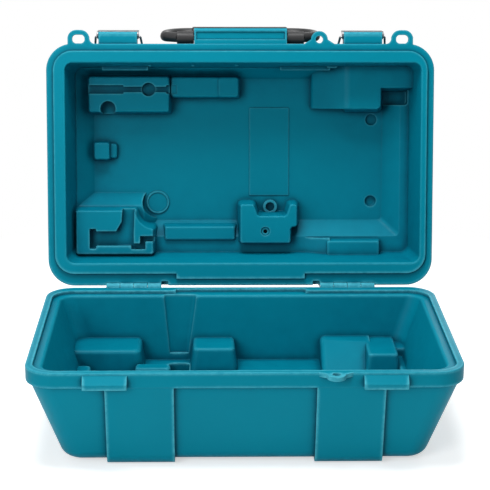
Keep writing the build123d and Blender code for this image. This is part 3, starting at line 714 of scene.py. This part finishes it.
def dome(name: str, radius: float, rise: float, skirt: float, rings: int = 6) -> bpy.types.Mesh:
    """A domed head that stands along Y on the origin.

    Args:
        name: The mesh's name.
        radius: Radius at its foot.
        rise: Height of the whole head.
        skirt: Height of its straight side.
        rings: Steps of the dome.

    Returns:
        The mesh.
    """
    profile = [(0.0, radius)]
    for ring in range(rings):
        angle = 0.5 * math.pi * ring / rings
        profile.append((skirt + (rise - skirt) * math.sin(angle), radius * math.cos(angle)))
    return turned(name, profile)


@dataclass
class Shells:
    """The base and the lid."""

    finishes: Finishes
    nodes: dict[str, bpy.types.Object]

    def build(self) -> None:
        """Builds and dresses both shells."""
        for body in ("base", "lid"):
            piece = smooth_copy(self.nodes[f"{body}_shell"], f"{body}_moulding")
            place_piece(piece, body, Slot.SHELL, self.finishes, (f"{body}_shell",))


@dataclass
class CarryHandle:
    """The folding handle and its rod."""

    finishes: Finishes
    nodes: dict[str, bpy.types.Object]

    def build(self) -> None:
        """Builds and dresses the handle."""
        piece = smooth_copy(self.nodes["handle_bow"], "handle_moulding")
        place_piece(piece, "handle", Slot.HANDLE, self.finishes, ("handle_bow",))
        rod = smooth_copy(self.nodes["handle_rod"], "handle_rod_bar")
        place_piece(rod, "lid", Slot.PIN, self.finishes, ("handle_rod",))


@dataclass
class DrawLatch:
    """One latch: pressed lever, bent wire and riveted axle. Sizes are in mm."""

    side: Side
    finishes: Finishes
    nodes: dict[str, bpy.types.Object]
    lid: OpenLid
    centre: float = 139.0
    boss_half: float = 21.8
    side_gap: float = 0.3
    plate: float = 1.2
    axle_reach: float = 10.5
    axle_level: float = 6.0
    axle_radius: float = 1.46
    head_radius: float = 2.4
    head_rise: float = 0.8
    head_skirt: float = 0.25
    head_play: float = 0.15
    wire_radius: float = 1.3
    wire_play: float = 0.08
    leg_gap: float = 0.7
    splay: float = 2.6
    bend: float = 2.6
    inner_bend: float = 1.56
    wire_length: float = 28.305
    wire_lean: float = 34.4
    pivot_reach: float = 8.0
    pivot_level: float = 11.0

    @property
    def x(self) -> float:
        """The latch's middle."""
        return self.centre if self.side is Side.RIGHT else -self.centre

    def wire_path(self) -> bpy.types.Mesh:
        """The wire's corner points about its pivot, each with its bend's radius."""
        end = self.boss_half + self.side_gap + self.wire_play
        near = self.boss_half + self.side_gap + self.plate + self.leg_gap + self.wire_radius
        wide = near + self.splay
        half = [(end, 0.0, 0.0), (near, 0.0, self.inner_bend), (wide, self.wire_length, self.bend)]
        points = [(-x, up, bend) for x, up, bend in half] + [
            (x, up, bend) for x, up, bend in reversed(half)
        ]
        mesh = bpy.data.meshes.new(f"wire_{self.side.value}_steel")
        links = [(index, index + 1) for index in range(len(points) - 1)]
        mesh.from_pydata([(x, 0.0, up) for x, up, _ in points], links, [])
        bends = mesh.attributes.new("bend", "FLOAT", "POINT")
        for item, (_, _, bend) in zip(bends.data, points):
            item.value = bend
        return mesh

    def build_wire(self) -> None:
        """Bends the wire and lays it back on the lid's front wall."""
        lean = Matrix.Rotation(math.radians(self.wire_lean), 4, "X")
        pivot = Matrix.Translation((self.x, self.pivot_reach, self.pivot_level))
        sizes = {"Wire Radius": self.wire_radius, "Wire Sides": 20, "Bend Steps": 7}
        wire = wire_group(self.finishes.latch).grow(
            self.wire_path(), sizes, self.lid.placement() @ pivot @ lean
        )
        body = f"wire_{self.side.value}"
        place_piece(wire, body, Slot.LATCH, self.finishes, (f"latch_{self.side.value}_wire",))

    def build_axle(self) -> None:
        """Makes the axle's bar and its two domed heads."""
        side = self.side.value
        outside = self.boss_half + self.side_gap + self.plate + self.head_play
        node = f"latch_{side}_axle"
        place = self.lid.placement() @ Matrix.Translation(
            (self.x, self.axle_reach, self.axle_level)
        )
        along = Matrix.Rotation(math.radians(-90.0), 4, "Z")
        bar = link(
            f"axle_{side}_bar",
            turned(
                f"axle_{side}_bar",
                [(-outside, self.axle_radius), (outside, self.axle_radius)],
                24,
            ),
        )
        bar.data.transform(place @ along)
        bar.data.flip_normals()
        bar.data.shade_smooth()
        place_piece(bar, "lid", Slot.PIN, self.finishes, (node,))
        head = dome(f"axle_{side}_heads", self.head_radius, self.head_rise, self.head_skirt)
        head.transform(along)
        head.transform(Matrix.Translation((outside, 0, 0)))
        heads = row_group(self.finishes.pin).grow(
            head, {"Count": 2, "Start": 0.0, "Pitch": 0.0, "Turn": math.pi}, place
        )
        place_piece(heads, "lid", Slot.PIN, self.finishes, (node,))

    def build(self) -> None:
        """Builds and dresses the latch's pieces."""
        side = self.side.value
        node = f"latch_{side}_lever"
        lever = smooth_copy(self.nodes[node], f"lever_{side}_steel")
        place_piece(lever, f"lever_{side}", Slot.LATCH, self.finishes, (node,))
        self.build_wire()
        self.build_axle()


@dataclass
class WallNubs:
    """The row of small moulded nubs on the lid's front wall, and one on its right wall."""

    finishes: Finishes
    lid: OpenLid
    radius: float = 2.3
    rise: float = 1.0
    sunk: float = 0.6
    skirt: float = 0.3
    row_start: float = -104.0
    row_pitch: float = 50.0
    row_count: int = 3
    row_level: float = 24.0
    mouth_reach: float = -21.3
    mouth_level: float = -3.0
    front_slope: float = 5.5 / 49.0
    side_place: tuple[float, float, float] = (203.2, -118.0, 20.0)

    def build(self) -> None:
        """Sets the nubs on the walls."""
        place = self.lid.placement()
        wall = self.mouth_reach - (self.row_level - self.mouth_level) * self.front_slope
        inward = Matrix.Rotation(math.pi, 4, "Z")
        row = dome("front_wall_nubs", self.radius, self.rise + self.sunk, self.skirt + self.sunk)
        row.transform(Matrix.Translation((0, wall + self.sunk, self.row_level)) @ inward)
        nubs = row_group(self.finishes.shell).grow(
            row,
            {
                "Count": self.row_count,
                "Start": self.row_start,
                "Pitch": self.row_pitch,
                "Turn": 0.0,
            },
            place,
        )
        place_piece(nubs, "lid", Slot.SHELL, self.finishes)
        left = Matrix.Rotation(math.radians(90.0), 4, "Z")
        side = dome("side_wall_nub", self.radius, self.rise + self.sunk, self.skirt + self.sunk)
        side.transform(Matrix.Translation(self.side_place) @ left)
        nub = row_group(self.finishes.shell).grow(
            side, {"Count": 1, "Start": 0.0, "Pitch": 0.0, "Turn": 0.0}, place
        )
        place_piece(nub, "lid", Slot.SHELL, self.finishes)


@dataclass
class HingePins:
    """The two pins in the knuckles."""

    finishes: Finishes
    nodes: dict[str, bpy.types.Object]

    def build(self) -> None:
        """Dresses the pins."""
        for side in Side:
            node = f"hinge_pin_{side.value}"
            piece = smooth_copy(self.nodes[node], f"hinge_pin_{side.value}_steel")
            place_piece(piece, "base", Slot.PIN, self.finishes, (node,))


def background_rays(tree: bpy.types.NodeTree) -> bpy.types.NodeSocket:
    """Adds the rays that see the white background: camera, glossy and transmission.

    Args:
        tree: The node tree of a material or the world.

    Returns:
        A socket that is 1 on those rays and 0 on the rest.
    """
    rays = tree.nodes.new("ShaderNodeLightPath")
    total = rays.outputs["Is Camera Ray"]
    for name in ("Is Glossy Ray", "Is Transmission Ray"):
        either = tree.nodes.new("ShaderNodeMath")
        either.operation = "ADD"
        either.use_clamp = True
        tree.links.new(total, either.inputs[0])
        tree.links.new(rays.outputs[name], either.inputs[1])
        total = either.outputs["Value"]
    return total


@dataclass
class Studio:
    """The floor, the light and the camera."""

    rest_shift: float = -53.213
    picture: float = 490.0
    focal_pixels: float = 1606.3
    eye: tuple[float, float, float] = (-34.0, -1618.0, 674.4)
    yaw: float = 1.265
    pitch: float = 16.381
    roll: float = 0.246
    sky_strength: float = 0.28
    floor_half: float = 6.0
    paper_tone: float = 0.86
    paper_glow: float = 0.55
    white_band: tuple[float, float] = (0.4, 0.75)
    middle: Colour = (0.0, 0.0, 0.2)

    def camera(self) -> None:
        """Puts the camera at the photograph's viewpoint."""
        lens = bpy.data.cameras.new("studio_camera")
        lens.sensor_width = 36.0
        lens.lens = self.focal_pixels / self.picture * lens.sensor_width
        lens.clip_start = 0.05
        lens.clip_end = 50.0
        camera = bpy.data.objects.new("studio_camera", lens)
        bpy.context.scene.collection.objects.link(camera)
        yaw, pitch, roll = (math.radians(a) for a in (self.yaw, self.pitch, self.roll))
        ahead = Vector(
            (math.sin(yaw) * math.cos(pitch), math.cos(yaw) * math.cos(pitch), -math.sin(pitch))
        )
        right = ahead.cross(Vector((0, 0, 1))).normalized()
        up = right.cross(ahead)
        across = right * math.cos(roll) + up * math.sin(roll)
        upright = up * math.cos(roll) - right * math.sin(roll)
        turn = Matrix((across, upright, -ahead)).transposed().to_4x4()
        x, y, z = self.eye
        camera.matrix_world = Matrix.Translation(
            Vector((x * MM, (y + self.rest_shift) * MM, z * MM))
        ) @ turn
        bpy.context.scene.camera = camera

    def lamp(self, name: str, place: Colour, aim: Colour, size: float, watts: float) -> None:
        """Adds a soft square lamp.

        Args:
            name: The lamp's name.
            place: Where it stands, in metres.
            aim: The point that it faces.
            size: The side of its square.
            watts: Its power.
        """
        light = bpy.data.lights.new(name, "AREA")
        light.shape = "SQUARE"
        light.size = size
        light.energy = watts
        lamp = bpy.data.objects.new(name, light)
        lamp.location = place
        lamp.rotation_euler = (Vector(aim) - Vector(place)).to_track_quat("-Z", "Y").to_euler()
        bpy.context.scene.collection.objects.link(lamp)

    def backdrop(self) -> None:
        """Sets a white world that lights softly and shows white behind the case."""
        world = bpy.data.worlds.new("studio_world")
        bpy.context.scene.world = world
        world.use_nodes = True
        tree = world.node_tree
        tree.nodes.clear()
        out = tree.nodes.new("ShaderNodeOutputWorld")
        dim = tree.nodes.new("ShaderNodeBackground")
        dim.inputs["Color"].default_value = (1, 1, 1, 1)
        dim.inputs["Strength"].default_value = self.sky_strength
        white = tree.nodes.new("ShaderNodeBackground")
        white.inputs["Color"].default_value = (1, 1, 1, 1)
        white.inputs["Strength"].default_value = 1.0
        mix = tree.nodes.new("ShaderNodeMixShader")
        tree.links.new(background_rays(tree), mix.inputs["Fac"])
        tree.links.new(dim.outputs["Background"], mix.inputs[1])
        tree.links.new(white.outputs["Background"], mix.inputs[2])
        tree.links.new(mix.outputs["Shader"], out.inputs["Surface"])

    def floor(self) -> None:
        """Lays a white floor that keeps a soft shadow."""
        work = bmesh.new()
        bmesh.ops.create_grid(work, x_segments=2, y_segments=2, size=self.floor_half)
        mesh = bpy.data.meshes.new("studio_floor")
        work.to_mesh(mesh)
        work.free()
        floor = link("studio_floor", mesh)
        sheet = NodeSheet.fresh("white_paper")
        out = sheet.add("ShaderNodeOutputMaterial")
        tone = self.paper_tone
        paper = sheet.add("ShaderNodeBsdfDiffuse", in_Color=(tone, tone, tone, 1))
        glow = sheet.add("ShaderNodeEmission", in_Strength=self.paper_glow)
        white = sheet.add("ShaderNodeEmission", in_Strength=1.0)
        both = sheet.add("ShaderNodeAddShader")
        spread = sheet.add("ShaderNodeMixShader")
        pick = sheet.add("ShaderNodeMixShader")
        place = sheet.add("ShaderNodeTexCoord")
        away = sheet.add("ShaderNodeVectorMath", operation="LENGTH")
        sheet.join(place.outputs["Object"], away.inputs[0])
        far = sheet.spread(away.outputs["Value"], 0.0, 1.0, *self.white_band)
        sheet.join(far, spread.inputs["Fac"])
        sheet.join(paper.outputs["BSDF"], both.inputs[0])
        sheet.join(glow.outputs["Emission"], both.inputs[1])
        sheet.join(both.outputs["Shader"], spread.inputs[1])
        sheet.join(white.outputs["Emission"], spread.inputs[2])
        sheet.join(background_rays(sheet.material.node_tree), pick.inputs["Fac"])
        sheet.join(paper.outputs["BSDF"], pick.inputs[1])
        sheet.join(spread.outputs["Shader"], pick.inputs[2])
        sheet.join(pick.outputs["Shader"], out.inputs["Surface"])
        mesh.materials.append(sheet.material)

    def build(self) -> None:
        """Builds the whole set."""
        bpy.context.scene.view_settings.view_transform = "Standard"
        self.backdrop()
        self.floor()
        self.camera()
        self.lamp("key_lamp", (-1.1, -1.8, 1.0), self.middle, 1.0, 19.5)
        self.lamp("top_lamp", (-0.1, -0.22, 1.5), self.middle, 0.6, 20.0)
        self.lamp("back_lamp", (0.6, 1.9, 1.0), self.middle, 1.4, 8.0)


def main() -> None:
    """Builds the case and the studio in order."""
    logging.basicConfig(level=logging.INFO, format="%(name)s: %(message)s")
    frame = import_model()
    nodes = frame["nodes"]
    finishes = Finishes()
    Shells(finishes, nodes).build()
    CarryHandle(finishes, nodes).build()
    lid = OpenLid()
    for side in Side:
        DrawLatch(side, finishes, nodes, lid).build()
    WallNubs(finishes, lid).build()
    HingePins(finishes, nodes).build()
    Studio().build()
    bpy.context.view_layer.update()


if __name__ == "__main__":
    main()
